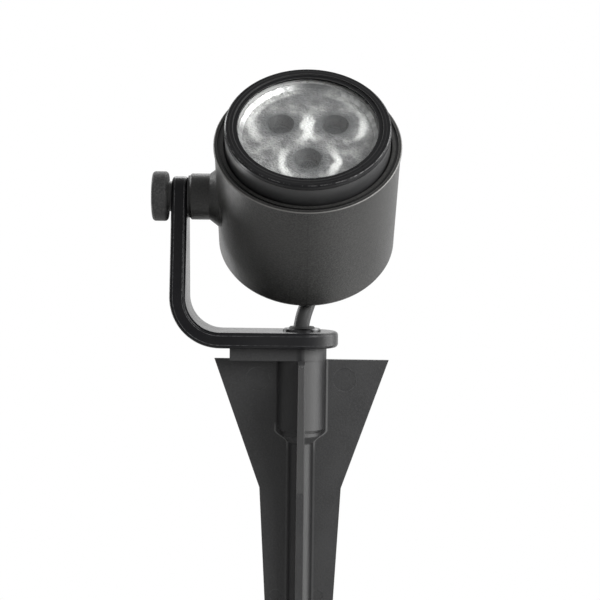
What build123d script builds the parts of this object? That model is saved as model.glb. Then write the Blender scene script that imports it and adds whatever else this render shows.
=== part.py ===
from build123d import *
import math
import os

# Garden spike spotlight. Millimetres, +Z up, +Y away from the front.
# The origin is on the spike's axis at the top of its fins, which is the soil line.

# ---- driving dimensions ------------------------------------------------------------------

# ground spike, one moulding: cross fins, core rib, cable socket and seat plate
spike_length = 200.0
fin_reach_top = 30.7
kink_depth = 45.6
fin_reach_kink = 14.4
shoulder_depth = 176.0
fin_reach_shoulder = 7.1
tip_reach = 1.3
fin_root_thickness = 3.0
fin_draft = 0.021  # each fin face leans in by this much per mm of reach
core_radius = 4.2
socket_radius = 8.5
socket_depth = 24.4
socket_step = 1.2
plate_height = 4.4
plate_half_width = 8.8
plate_tail = 25.0
key_radius = 2.4
key_height = 2.8
key_inset = 5.0
eject_mark_radius = 4.1
eject_mark_depth = 0.2

# bracket, one bent bar: foot, bend and upright arm
bar_thickness = 5.6
foot_half_width = 12.8
bend_inner_radius = 12.0
arm_inner_face = 40.3  # from the spike's axis to the arm's inner face
arm_end_radius = 7.0
bar_edge_round = 1.3

# head, measured along its own axis from the tilt pivot
pivot_height = 56.8
head_offset = 1.2
beam_elevation = 42.0
body_radius = 31.5
body_back = 22.3
body_front = 27.0
body_edge_round = 1.5
rim_lip = 0.35
rim_lip_height = 1.3
rim_ridge_width = 1.2
rim_groove_width = 1.0
rim_groove_depth = 0.7
rim_gap = 0.6
rim_gap_depth = 2.6
floor_thickness = 3.0
body_wall = 4.5  # beside the lens collar's thread
chamber_ledge = 2.5

# lens collar and retaining bezel
collar_step = 0.9  # the collar's front is this much wider than its thread
collar_height = 6.6  # stands this far out of the housing's rim
bezel_height = 1.7
bezel_seam = 0.15
window_margin = 4.3  # from the collar's outside to the clear opening
bezel_step_width = 1.5
bezel_step_depth = 0.5
glass_seat = 1.7  # the glass reaches this far past the clear opening
glass_thickness = 3.0
glass_recess = 1.2
gasket_thickness = 1.0
bezel_skirt = 0.9
seal_ring_section = 0.9

# optic and light source
cell_count = 3
cell_margin = 2.4  # from the opening's edge to the cells
cell_overlap = 0.3
cell_base_radius = 4.2
cell_height = 11.6
cell_well_radius = 4.7
cell_well_depth = 4.6
cell_pocket_radius = 2.6
cell_pocket_depth = 3.2
optic_flange = 1.2
optic_air_gap = 0.7
holder_wall = 0.9
board_thickness = 1.6
board_inset = 1.0
led_size = 3.5
led_height = 0.8
led_dome_radius = 1.4
pad_thickness = 0.4
spreader_thickness = 5.0
board_screw_offset = 4.0  # outside the circle of the cells' centres
post_radius = 3.1
post_inset = 2.9
screw_radius = 1.5
screw_head_radius = 2.7
screw_head_height = 1.8
spreader_screw_length = 14.0
board_screw_length = 5.0

# driver in the housing's back chamber
driver_clearance = 7.3  # from the board's edge to the chamber's wall
driver_lift = 10.5
pillar_radius = 2.6
pillar_inset = 4.7
choke_radius = 5.0
choke_height = 6.5
capacitor_radius = 3.2
capacitor_height = 9.0
chip_size = 6.0
chip_height = 1.8
wire_radius = 0.8
wire_inset = 1.7
wire_hook = 2.4

# tilt clamp
boss_radius = 8.1
friction_thickness = 0.5
friction_radius = 7.4
stud_radius = 2.5
stud_clearance = 0.05
stud_depth = 6.4
collar_washer_radius = 5.3
collar_washer_thickness = 1.4
knob_radius = 8.7
knob_thickness = 5.5
knob_round = 1.2

# cable and its fittings
cable_radius = 2.75
gland_rise = 6.0  # the cable leaves the back this far above the head's axis
gland_length = 4.2
gland_radius = 5.4
gland_neck_radius = 4.6
gland_nut_height = 3.0
nipple_flange_radius = 6.7
nipple_flange_height = 1.0
nipple_radius = 4.9
nipple_length = 13.6
nipple_bore = 3.6
bush_collar_radius = 4.7
bush_collar_height = 0.6
bush_length = 8.4
insert_radius = 6.4
insert_length = 9.6
guide_radius = 3.3
guide_start = 2.0
guide_bend_radius = 18.0
guide_ease = 0.6  # leaves a short straight between the guide's two bends
fit_gap = 0.05
seat_gap = 0.3

# put-away cable
coil_turns = 3  # in each of its two layers
coil_inner_radius = 22.0
coil_gap = 0.6
tie_thickness = 0.6
tie_width = 7.0
plug_radius = 6.4
plug_length = 21.0
plug_nose_radius = 4.8
plug_nose_length = 11.0
plug_relief_length = 20.0
plug_pin_radius = 0.9
plug_pin_spread = 4.2
plug_pin_length = 6.5
plug_pin_recess = 7.0

# ---- derived places ----------------------------------------------------------------------

foot_top = plate_height + bar_thickness
arm_outer_face = arm_inner_face + bar_thickness
boss_face = -(arm_inner_face - friction_thickness)
floor_level = -spike_length
cable_pitch = 2 * cable_radius + coil_gap
thread_radius = body_radius - body_wall
collar_radius = thread_radius + collar_step
window_radius = collar_radius - window_margin
glass_radius = window_radius + glass_seat
board_radius = window_radius - board_inset
cell_circle_radius = (window_radius - cell_margin) / 2
cell_mouth_radius = cell_circle_radius - cell_overlap
board_screw_circle = cell_circle_radius + board_screw_offset
collar_top = body_front + collar_height
head_top = collar_top + bezel_height
glass_top = head_top - glass_recess
glass_bottom = glass_top - glass_thickness
ledge_level = glass_bottom - gasket_thickness
optic_top = ledge_level - optic_air_gap
cell_bottom = optic_top - optic_flange - cell_height
board_top = cell_bottom - 0.5
board_bottom = board_top - board_thickness
spreader_top = board_bottom - pad_thickness
spreader_bottom = spreader_top - spreader_thickness
collar_bottom = spreader_top + seat_gap
chamber_floor = -body_back + floor_thickness
chamber_radius = thread_radius - chamber_ledge
post_circle = chamber_radius - post_inset
driver_radius = chamber_radius - driver_clearance
pillar_spread = driver_radius - pillar_inset
wire_circle = driver_radius - wire_inset
choke_place = driver_radius - choke_radius - 1.7
can_circle = driver_radius - capacitor_radius - 2.5
driver_bottom = chamber_floor + driver_lift
driver_top = driver_bottom + board_thickness

head_place = Pos(head_offset, 0, pivot_height) * Rot(90 - beam_elevation, 0, 0)
toward_back = head_place * Pos(0, gland_rise, -(body_back + gland_length))
guide_heading = Rot(0, 0, 45)


def along_x(x, y=0.0, z=pivot_height):
    """A place whose own Z axis points along -X, for the clamp's turned pieces."""
    return Pos(x, y, z) * Rot(0, -90, 0)


def disc(radius, low, high):
    return Pos(0, 0, low) * Cylinder(radius, high - low, align=(Align.CENTER, Align.CENTER, Align.MIN))


def ring(outer, inner, low, high):
    return disc(outer, low, high) - disc(inner, low - 1, high + 1)


def turned(*points):
    """A solid of revolution about Z from (radius, height) points."""
    outline = make_face(Plane.XZ * Polyline(*points, close=True))
    return revolve(outline, Axis.Z)


def around(count, radius, start=0.0):
    return [Rot(0, 0, start + 360 * i / count) * Pos(radius, 0, 0) for i in range(count)]


def tube(path, radius):
    profile = Plane(path @ 0, z_dir=path % 0) * Circle(radius)
    return sweep(profile, path)


# ---- spike -------------------------------------------------------------------------------


def fin(azimuth):
    """One drafted fin: its plan is a wedge, cut to the tapering outline."""
    edge_half = fin_root_thickness / 2 - fin_draft * fin_reach_top
    plan = Polyline(
        (0, -fin_root_thickness / 2),
        (fin_reach_top, -edge_half),
        (fin_reach_top, edge_half),
        (0, fin_root_thickness / 2),
        close=True,
    )
    wedge = Pos(0, 0, -spike_length) * extrude(make_face(plan), spike_length)
    outline = Polyline(
        (0, 0),
        (fin_reach_top, 0),
        (fin_reach_kink, -kink_depth),
        (fin_reach_shoulder, -shoulder_depth),
        (tip_reach, -spike_length),
        (0, -spike_length),
        close=True,
    )
    cutter = extrude(make_face(Plane.XZ * outline), fin_root_thickness, both=True)
    return Rot(0, 0, azimuth) * (wedge & cutter)


def turned_points(points, place):
    return [(place * Pos(*point)).position for point in points]


aside = core_radius + cable_radius + seat_gap
guide_turn = math.acos(1 - aside / (2 * guide_bend_radius))
guide_lead = guide_bend_radius * math.tan(guide_turn / 2)
guide_upper = -guide_start - guide_lead
guide_lower = guide_upper - aside / math.tan(guide_turn)
guide_end = guide_lower - guide_lead - 1.5
cable_entry = foot_top + nipple_flange_height + bush_collar_height
guide_points = turned_points(
    [(0, 0, cable_entry), (0, 0, guide_upper), (aside, 0, guide_lower), (aside, 0, guide_end)],
    guide_heading,
)
guide_path = FilletPolyline(*guide_points, radius=guide_bend_radius - guide_ease)


def eject_mark(x, z, radius):
    face = fin_root_thickness / 2 - fin_draft * abs(x)
    pin = Pos(x, -face + eject_mark_depth, z) * Rot(90, 0, 0)
    return pin * Cylinder(radius, 2, align=(Align.CENTER, Align.CENTER, Align.MIN))


def make_spike():
    shape = disc(core_radius, -shoulder_depth, 0)
    shape += turned((0, -shoulder_depth), (core_radius, -shoulder_depth), (0.8, -spike_length), (0, -spike_length))
    for azimuth in (0, 90, 180, 270):
        shape += fin(azimuth)
    step_radius = socket_radius - socket_step
    shape += turned(
        (0, 0),
        (socket_radius, 0),
        (socket_radius, -socket_depth),
        (step_radius, -socket_depth - socket_step),
        (step_radius, -socket_depth - 2 * socket_step),
        (core_radius, -socket_depth - 2 * socket_step - (step_radius - core_radius)),
        (0, -socket_depth - 2 * socket_step - (step_radius - core_radius)),
    )
    tail = Pos(-plate_tail, 0, 0) * Box(
        plate_tail, 2 * plate_half_width, plate_height, align=(Align.MIN, Align.CENTER, Align.MIN)
    )
    shape += disc(plate_half_width, 0, plate_height) + tail
    shape += Pos(key_inset - plate_tail, 0, 0) * disc(key_radius, plate_height, plate_height + key_height)
    shape -= disc(insert_radius, plate_height - insert_length, plate_height + 1)
    shape -= disc(guide_radius, guide_upper, plate_height)
    shape -= tube(guide_path, guide_radius)
    shape -= Pos(*guide_points[-1]) * Pos(0, 0, -5) * Cylinder(
        guide_radius, 5, align=(Align.CENTER, Align.CENTER, Align.MIN)
    )
    slot = Polyline(
        (aside * 0.5, (guide_upper + guide_lower) / 2),
        (aside, guide_lower),
        (aside, guide_end - 5),
        (socket_radius + 2, guide_end - 5),
        (socket_radius + 2, (guide_upper + guide_lower) / 2),
        close=True,
    )
    shape -= guide_heading * extrude(make_face(Plane.XZ * slot), guide_radius, both=True)
    marks = ((15.2, -7.0, 1.0), (-15.4, -7.0, 1.0), (6.6, -84.0, 0.5), (-8.4, -84.0, 0.5))
    for x, z, share in marks:
        shape -= eject_mark(x, z, eject_mark_radius * share)
    return shape


# ---- bracket -----------------------------------------------------------------------------


def make_bracket():
    bend_x = -arm_inner_face + bend_inner_radius
    outer = bend_inner_radius + bar_thickness
    bend_z = plate_height + outer
    top = pivot_height + arm_end_radius
    reach = foot_half_width
    with BuildSketch(Plane.XZ) as side:
        with BuildLine():
            Line((reach, plate_height), (bend_x, plate_height))
            RadiusArc((bend_x, plate_height), (-arm_outer_face, bend_z), outer)
            Line((-arm_outer_face, bend_z), (-arm_outer_face, top))
            Line((-arm_outer_face, top), (-arm_inner_face, top))
            Line((-arm_inner_face, top), (-arm_inner_face, bend_z))
            RadiusArc((-arm_inner_face, bend_z), (bend_x, foot_top), -bend_inner_radius)
            Line((bend_x, foot_top), (reach, foot_top))
            Line((reach, foot_top), (reach, plate_height))
        make_face()
    bar = extrude(side.sketch, foot_half_width, both=True)
    plan = Pos(bend_x, 0, 0) * Box(
        -bend_x, 2 * foot_half_width, top, align=(Align.MIN, Align.CENTER, Align.MIN)
    )
    plan += disc(foot_half_width, 0, top)
    plan += Pos(-arm_outer_face, 0, 0) * Box(
        arm_outer_face + bend_x, 2 * foot_half_width, top, align=(Align.MIN, Align.CENTER, Align.MIN)
    )
    with BuildSketch(Plane.YZ) as front:
        with BuildLine():
            Line((-foot_half_width, plate_height), (-foot_half_width, bend_z))
            Line((-foot_half_width, bend_z), (-arm_end_radius, pivot_height))
            ThreePointArc((-arm_end_radius, pivot_height), (0, top), (arm_end_radius, pivot_height))
            Line((arm_end_radius, pivot_height), (foot_half_width, bend_z))
            Line((foot_half_width, bend_z), (foot_half_width, plate_height))
            Line((foot_half_width, plate_height), (-foot_half_width, plate_height))
        make_face()
    taper = Pos(-arm_outer_face - 1, 0, 0) * extrude(front.sketch, arm_outer_face + reach + 2)
    shape = bar & plan & taper
    shape = fillet(shape.edges().filter_by(lambda edge: long_edge(edge, foot_half_width)), bar_edge_round)
    shape -= disc(nipple_radius + fit_gap, 0, foot_top + 1)
    shape -= Pos(key_inset - plate_tail, 0, 0) * disc(
        key_radius + fit_gap, plate_height - 1, plate_height + key_height + seat_gap
    )
    shape -= along_x(-arm_inner_face + 1) * Cylinder(
        stud_radius + 2 * fit_gap, bar_thickness + 2, align=(Align.CENTER, Align.CENTER, Align.MIN)
    )
    return shape


def long_edge(edge, half_width):
    """True for the edges that run along the bar's two flat faces."""
    middle = edge.position_at(0.5)
    return abs(middle.Y) > 0.5 or middle.X > half_width - 0.5 or middle.Z > pivot_height + 0.5


# ---- head --------------------------------------------------------------------------------


def make_housing():
    lip = body_radius + rim_lip
    ridge = lip - rim_ridge_width
    groove = ridge - rim_groove_width
    gap = collar_radius + rim_gap
    low = -body_back
    rim_low = body_front - rim_lip_height
    gap_low = body_front - rim_gap_depth
    ledge = spreader_bottom
    shell = turned(
        (0, low),
        (body_radius - body_edge_round, low),
        (body_radius - 0.3 * body_edge_round, low + 0.3 * body_edge_round),
        (body_radius, low + body_edge_round),
        (body_radius, rim_low),
        (lip, rim_low + 0.4),
        (lip, body_front - 0.3),
        (lip - 0.3, body_front),
        (ridge, body_front),
        (ridge, body_front - rim_groove_depth),
        (groove, body_front - rim_groove_depth),
        (groove, body_front - 0.2),
        (gap, body_front - 0.2),
        (gap, gap_low),
        (thread_radius, gap_low),
        (thread_radius, ledge),
        (chamber_radius, ledge),
        (chamber_radius, chamber_floor),
        (0, chamber_floor),
    )
    boss_start = -(body_radius - head_offset) + 1.0
    boss = Pos(boss_face - head_offset, 0, 0) * Rot(0, 90, 0) * Cylinder(
        boss_radius, boss_start - boss_face, align=(Align.CENTER, Align.CENTER, Align.MIN)
    )
    flare = Pos(boss_start - head_offset, 0, 0) * Rot(0, -90, 0) * Cone(
        boss_radius + 2.6, boss_radius, 3.4, align=(Align.CENTER, Align.CENTER, Align.MIN)
    )
    boss = chamfer(boss.faces().sort_by(Axis.X)[0].edges(), 0.8)
    shape = shell + ((boss + flare) - disc(body_radius - 0.5, -body_back, body_front))
    for place in around(3, post_circle, 90):
        post = place * disc(post_radius, chamber_floor - 0.5, ledge)
        shape += post & disc(chamber_radius + 0.5, chamber_floor - 0.5, ledge)
        shape -= place * disc(screw_radius + fit_gap, ledge - spreader_screw_length + spreader_thickness, ledge + 1)
    for side in (-1, 1):
        pillar = Pos(side * pillar_spread, 0, 0)
        shape += pillar * disc(pillar_radius, chamber_floor - 0.5, driver_bottom)
        shape -= pillar * disc(screw_radius + fit_gap, driver_bottom - board_screw_length, driver_bottom + 1)
    shape -= Pos(0, gland_rise, 0) * disc(gland_neck_radius + fit_gap, -body_back - 1, chamber_floor + 1)
    stud_hole = Pos(boss_face - head_offset - 1, 0, 0) * Rot(0, 90, 0) * Cylinder(
        stud_radius + stud_clearance, stud_depth + 1.5, align=(Align.CENTER, Align.CENTER, Align.MIN)
    )
    return head_place * (shape - stud_hole)


def make_collar():
    bore = board_radius + 0.9
    skirt = glass_radius + 0.2 + bezel_skirt + fit_gap
    shoulder = body_front - rim_gap_depth + seal_ring_section
    thread = thread_radius - fit_gap
    shape = turned(
        (bore, collar_bottom),
        (thread, collar_bottom),
        (thread, shoulder),
        (collar_radius, shoulder),
        (collar_radius, collar_top),
        (skirt, collar_top),
        (skirt, ledge_level),
        (window_radius - 0.2, ledge_level),
        (window_radius - 0.2, ledge_level - 1.6),
        (bore, ledge_level - 2.6),
    )
    return head_place * shape


def make_bezel():
    skirt = glass_radius + 0.2
    step = window_radius + bezel_step_width
    shape = turned(
        (window_radius, glass_top),
        (skirt, glass_top),
        (skirt, glass_bottom),
        (skirt + bezel_skirt, glass_bottom),
        (skirt + bezel_skirt, collar_top + bezel_seam),
        (collar_radius, collar_top + bezel_seam),
        (collar_radius, head_top - 0.5),
        (collar_radius - 0.5, head_top),
        (step, head_top),
        (step, head_top - bezel_step_depth),
        (window_radius, head_top - bezel_step_depth),
    )
    return head_place * shape


def make_glass():
    glass = disc(glass_radius, glass_bottom, glass_top)
    return head_place * chamfer(glass.edges(), 0.3)


def make_gasket():
    return head_place * ring(glass_radius, window_radius, ledge_level, glass_bottom)


def make_seal_ring():
    low = body_front - rim_gap_depth
    return head_place * ring(thread_radius + seal_ring_section, thread_radius, low, low + seal_ring_section)


def cell_places(start=30.0):
    return around(cell_count, cell_circle_radius, start)


def make_optic():
    flange_low = optic_top - optic_flange
    shape = disc(window_radius - holder_wall - 0.5, flange_low, optic_top)
    for place in cell_places():
        cell = turned(
            (0, cell_bottom),
            (cell_base_radius, cell_bottom),
            (cell_mouth_radius - 3.2, cell_bottom + 0.30 * cell_height),
            (cell_mouth_radius - 1.4, cell_bottom + 0.62 * cell_height),
            (cell_mouth_radius, flange_low),
            (0, flange_low),
        )
        shape += place * cell
    for place in cell_places():
        shape -= place * turned(
            (0, optic_top - cell_well_depth + 0.8),
            (0.55 * cell_well_radius, optic_top - cell_well_depth + 0.5),
            (0.8 * cell_well_radius, optic_top - cell_well_depth),
            (cell_well_radius, optic_top + 0.5),
            (0, optic_top + 0.5),
        )
        shape -= place * disc(cell_pocket_radius, cell_bottom - 1, cell_bottom + cell_pocket_depth)
    return head_place * shape


def make_holder():
    outer = window_radius - 0.4
    shape = ring(outer, outer - holder_wall, board_top, optic_top)
    floor = disc(outer, board_top, board_top + holder_wall)
    for place in cell_places():
        floor -= place * disc(cell_base_radius + 1.6, board_top - 1, board_top + 2 * holder_wall)
    for place in around(3, board_screw_circle, 90):
        floor -= place * disc(screw_head_radius + 0.4, board_top - 1, board_top + 2 * holder_wall)
    for place in wire_places():
        floor -= place * Pos(-wire_hook / 2, 0, 0) * disc(wire_hook, board_top - 1, board_top + 2 * holder_wall)
    seat = ring(outer - holder_wall + 0.1, outer - 2 * holder_wall, optic_top - optic_flange - 1, optic_top - optic_flange)
    return head_place * (shape + floor + seat)


def wire_places():
    return around(2, wire_circle, 60)


def make_led_board():
    board = disc(board_radius, board_bottom, board_top)
    for place in around(3, board_screw_circle, 90):
        board -= place * disc(screw_radius + 0.1, board_bottom - 1, board_top + 1)
    for place in wire_places():
        board -= place * disc(wire_radius + 0.3, board_bottom - 1, board_top + 1)
    return head_place * board


def make_leds():
    packages = []
    for place in cell_places():
        base = Pos(0, 0, board_top) * Box(
            led_size, led_size, led_height, align=(Align.CENTER, Align.CENTER, Align.MIN)
        )
        dome = Pos(0, 0, board_top + led_height) * Sphere(led_dome_radius)
        packages.append(head_place * place * (base + (dome & disc(led_size, board_top + led_height, board_top + 4))))
    return Compound(packages)


def make_thermal_pad():
    pad = disc(board_radius - 0.6, spreader_top, board_bottom)
    for place in around(3, board_screw_circle, 90):
        pad -= place * disc(screw_radius + 0.2, spreader_top - 1, board_bottom + 1)
    for place in wire_places():
        pad -= place * disc(wire_radius + 0.3, spreader_top - 1, board_bottom + 1)
    return head_place * pad


def make_spreader():
    plate = disc(thread_radius - seat_gap, spreader_bottom, spreader_top)
    plate = chamfer(plate.edges().group_by(Axis.Z)[0], 0.4)
    for place in around(3, post_circle, 90):
        plate -= place * disc(screw_radius + 0.1, spreader_bottom - 1, spreader_top + 1)
        plate -= place * disc(screw_head_radius + 0.2, spreader_top - screw_head_height - 0.2, spreader_top + 1)
    for place in around(3, board_screw_circle, 90):
        plate -= place * disc(screw_radius + fit_gap, spreader_bottom - 1, spreader_top + 1)
    for place in wire_places():
        plate -= place * disc(wire_radius + 0.5, spreader_bottom - 1, spreader_top + 1)
    return head_place * plate


def pan_screw(top, length):
    """A pan-head screw whose head's underside is at top."""
    shank = disc(screw_radius, top - length, top)
    head = turned(
        (0, top),
        (screw_head_radius, top),
        (screw_head_radius, top + 0.6 * screw_head_height),
        (0.6 * screw_head_radius, top + screw_head_height),
        (0, top + screw_head_height),
    )
    slot = Pos(0, 0, top + screw_head_height) * Box(
        1.4 * screw_head_radius, 0.6, 0.9 * screw_head_height
    )
    cross = slot + Rot(0, 0, 90) * slot
    return shank + head - cross


def make_spreader_screws():
    seat = spreader_top - screw_head_height - 0.2
    screw = pan_screw(seat, spreader_screw_length - 2.5)
    return Compound([head_place * place * screw for place in around(3, post_circle, 90)])


def make_board_screws():
    screw = pan_screw(board_top, board_screw_length)
    return Compound([head_place * place * screw for place in around(3, board_screw_circle, 90)])


# ---- driver ------------------------------------------------------------------------------


def make_driver_board():
    board = disc(driver_radius, driver_bottom, driver_top)
    for side in (-1, 1):
        board -= Pos(side * pillar_spread, 0, 0) * disc(screw_radius + 0.1, driver_bottom - 1, driver_top + 1)
    return head_place * board


def make_driver_screws():
    screw = pan_screw(driver_top, board_screw_length)
    return Compound([head_place * Pos(side * pillar_spread, 0, 0) * screw for side in (-1, 1)])


def make_driver_parts():
    choke = turned(
        (0, driver_top),
        (choke_radius, driver_top),
        (choke_radius, driver_top + 0.15 * choke_height),
        (0.75 * choke_radius, driver_top + 0.2 * choke_height),
        (0.75 * choke_radius, driver_top + 0.8 * choke_height),
        (choke_radius, driver_top + 0.85 * choke_height),
        (choke_radius, driver_top + choke_height),
        (0, driver_top + choke_height),
    )
    can = disc(capacitor_radius, driver_top, driver_top + capacitor_height)
    chip = Pos(0, 0, driver_top) * Box(
        chip_size, chip_size, chip_height, align=(Align.CENTER, Align.CENTER, Align.MIN)
    )
    placed = [
        Pos(0, choke_place, 0) * choke,
        Rot(0, 0, 228) * Pos(can_circle, 0, 0) * can,
        Rot(0, 0, 273) * Pos(can_circle, 0, 0) * can,
        Pos(0, 0, 0) * chip,
    ]
    return Compound([head_place * item for item in placed])


def make_lead_wires():
    """From the driver board up through the spreader to the light board's face."""
    wires = []
    for place in wire_places():
        route = FilletPolyline(
            (0, 0, driver_top), (0, 0, board_top + 2.2), (-wire_hook, 0, board_top + wire_radius), radius=1.2
        )
        wires.append(head_place * place * tube(route, wire_radius))
    return Compound(wires)


def make_supply_cores():
    """The cable's two cores, from its cut end to the driver board's underside."""
    start = chamber_floor + gland_nut_height + 2.0
    cores = []
    for side in (-1, 1):
        route = FilletPolyline(
            (side * 1.3, gland_rise, start),
            (side * 1.3, gland_rise, start + 1.6),
            (side * 4.0, gland_rise - 2, driver_bottom - 1.6),
            (side * 4.0, gland_rise - 2, driver_bottom),
            radius=0.9,
        )
        cores.append(head_place * tube(route, wire_radius))
    return Compound(cores)


# ---- tilt clamp --------------------------------------------------------------------------


def make_friction_washer():
    washer = Cylinder(friction_radius, friction_thickness, align=(Align.CENTER, Align.CENTER, Align.MIN))
    washer -= Cylinder(stud_radius + 2 * fit_gap, 4)
    return along_x(boss_face) * washer


def make_stud():
    inner = boss_face + stud_depth - 0.4
    length = inner + arm_outer_face + collar_washer_thickness + 0.7 * knob_thickness
    stud = Cylinder(stud_radius, length, align=(Align.CENTER, Align.CENTER, Align.MIN))
    return along_x(inner) * chamfer(stud.edges(), 0.4)


def make_collar_washer():
    washer = Cylinder(
        collar_washer_radius, collar_washer_thickness, align=(Align.CENTER, Align.CENTER, Align.MIN)
    )
    washer -= Cylinder(stud_radius + 2 * fit_gap, 6)
    return along_x(-arm_outer_face) * washer


def make_knob():
    knob = Cylinder(knob_radius, knob_thickness, align=(Align.CENTER, Align.CENTER, Align.MIN))
    knob = fillet(knob.edges().filter_by(GeomType.CIRCLE), knob_round)
    knob -= Cylinder(stud_radius, 2 * 0.7 * knob_thickness)
    return along_x(-arm_outer_face - collar_washer_thickness) * knob


# ---- cable fittings ----------------------------------------------------------------------


def make_gland():
    low = -body_back - gland_length
    shape = turned(
        (cable_radius, low),
        (cable_radius + 1.1, low),
        (gland_radius, -body_back - 1.6),
        (gland_radius, -body_back),
        (gland_neck_radius, -body_back),
        (gland_neck_radius, chamber_floor + gland_nut_height + 1.0),
        (cable_radius, chamber_floor + gland_nut_height + 1.0),
    )
    return head_place * Pos(0, gland_rise, 0) * shape


def make_gland_nut():
    nut = extrude(RegularPolygon(gland_neck_radius + 1.9, 6, major_radius=False), gland_nut_height)
    nut -= Cylinder(gland_neck_radius, 20)
    return head_place * Pos(0, gland_rise, chamber_floor) * nut


def make_cable_head():
    """The cable inside the gland, up to where its sheath is stripped."""
    low = -body_back - gland_length
    return head_place * Pos(0, gland_rise, 0) * disc(cable_radius, low, chamber_floor + gland_nut_height + 2.0)


def make_nipple():
    under = foot_top
    shape = turned(
        (nipple_bore, foot_top + nipple_flange_height - nipple_length),
        (nipple_radius, foot_top + nipple_flange_height - nipple_length),
        (nipple_radius, under),
        (nipple_flange_radius, under),
        (nipple_flange_radius, under + 0.6 * nipple_flange_height),
        (nipple_flange_radius - 0.6, under + nipple_flange_height),
        (nipple_bore, under + nipple_flange_height),
    )
    return shape


def make_bush():
    top = foot_top + nipple_flange_height
    return turned(
        (cable_radius + fit_gap, top - bush_length),
        (nipple_bore - fit_gap, top - bush_length),
        (nipple_bore - fit_gap, top),
        (bush_collar_radius, top),
        (bush_collar_radius - 0.5, top + bush_collar_height),
        (cable_radius + fit_gap, top + bush_collar_height),
    )


def make_insert():
    return ring(insert_radius, nipple_radius + fit_gap, plate_height - insert_length, plate_height)


# ---- cable -------------------------------------------------------------------------------

back = toward_back.position
back_heading = (toward_back * Pos(0, 0, -1)).position - back
neck_points = [
    back,
    back + back_heading * 7.2,
    Vector(2.0, 26.0, 26.9),
    Vector(0, 0, 20.3),
    Vector(0, 0, cable_entry),
]
neck_radii = [9.6, 9.6, 9.0]

lying_level = floor_level + cable_radius + tie_thickness + 0.1

lead_points = [
    guide_points[-1],
    guide_points[-1] + Vector(0, 0, -36),
    Vector(6.3, 6.2, floor_level + 102),
    Vector(7.6, 8.6, floor_level + 70),
    Vector(12.0, 14.5, floor_level + 44),
    Vector(17.5, 24.0, floor_level + 22),
    Vector(23.0, 37.0, floor_level + 7.5),
    Vector(27.0, 54.0, lying_level),
    Vector(29.0, 71.0, lying_level),
]


def turn_at(points, i):
    return (points[i] - points[i - 1]).get_angle(points[i + 1] - points[i])


def easy_radii(points):
    """For each corner, 0.45 of its shorter run over the tangent of half its turn."""
    radii = []
    for i in range(1, len(points) - 1):
        run = min((points[i] - points[i - 1]).length, (points[i + 1] - points[i]).length)
        radii.append(0.45 * run / math.tan(math.radians(turn_at(points, i) / 2)))
    return radii


def free_path(points, name):
    radii = easy_radii(points)
    print(name, "radii", [round(r, 1) for r in radii])
    return FilletPolyline(*points, radius=radii)


coil_outer_radius = coil_inner_radius + coil_turns * cable_pitch
coil_start = lead_points[-1]
coil_heading = (lead_points[-1] - lead_points[-2]).normalized()
coil_start_angle = math.atan2(-coil_heading.X, coil_heading.Y)
coil_centre = coil_start - Vector(
    coil_outer_radius * math.cos(coil_start_angle), coil_outer_radius * math.sin(coil_start_angle), 0
)
coil_total_turns = 2 * coil_turns + 0.5


def coil_point(turn):
    """Spirals in on the floor, climbs in the half turn where it reverses, spirals out on top."""
    climb = min(max((turn - coil_turns) / 0.5, 0), 1)
    if turn < coil_turns:
        radius = coil_outer_radius - cable_pitch * turn
    elif turn < coil_turns + 0.5:
        part = turn - coil_turns
        radius = coil_inner_radius + cable_pitch * (2 * part * part - part)
    else:
        radius = coil_inner_radius + cable_pitch * (turn - coil_turns - 0.5)
    rise = cable_pitch * climb * climb * (3 - 2 * climb)
    angle = coil_start_angle + 2 * math.pi * turn
    return coil_centre + Vector(radius * math.cos(angle), radius * math.sin(angle), rise)


def coil_tangent(turn, step=1e-4):
    low = max(turn - step, 0)
    high = min(turn + step, coil_total_turns)
    return (coil_point(high) - coil_point(low)).normalized()


def biarc(start, start_heading, end, end_heading):
    """Two arcs that leave start and reach end along the given headings."""
    span = end - start
    both = start_heading + end_heading
    a = 2 * (1 - start_heading.dot(end_heading))
    b = 2 * span.dot(both)
    reach = (-b + math.sqrt(b * b + 4 * a * span.dot(span))) / (2 * a)
    left = start + start_heading * reach
    right = end - end_heading * reach
    joint = (left + right) * 0.5
    return [
        TangentArc(start, joint, tangent=start_heading),
        TangentArc(joint, end, tangent=(right - left).normalized()),
    ]


def coil_path():
    arcs = []
    steps = int(4 * coil_total_turns)
    for i in range(steps):
        a, b = i / 4, (i + 1) / 4
        arcs += biarc(coil_point(a), coil_tangent(a), coil_point(b), coil_tangent(b))
    return Wire([edge for arc in arcs for edge in arc.edges()])


def coil_clearance():
    """The least gap between stretches of the coil over half a turn apart."""
    per_turn = 48
    points = [coil_point(i / per_turn) for i in range(int(coil_total_turns * per_turn) + 1)]
    least = min(
        (points[i] - points[j]).length
        for i in range(len(points))
        for j in range(i + per_turn // 2, len(points))
    )
    return least - 2 * cable_radius


coil_end = coil_point(coil_total_turns)
coil_end_heading = coil_tangent(coil_total_turns)
plug_level = floor_level + plug_radius + 0.1
plug_start = Vector(coil_end.X - 6.0, coil_end.Y - 42.0, plug_level)
tail_points = [
    coil_end,
    coil_end + coil_end_heading * 14.0,
    plug_start + Vector(0.8, 14.0, 0),
    plug_start,
]
plug_heading = (tail_points[-1] - tail_points[-2]).normalized()
plug_place = Plane(plug_start, z_dir=plug_heading).location


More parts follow.
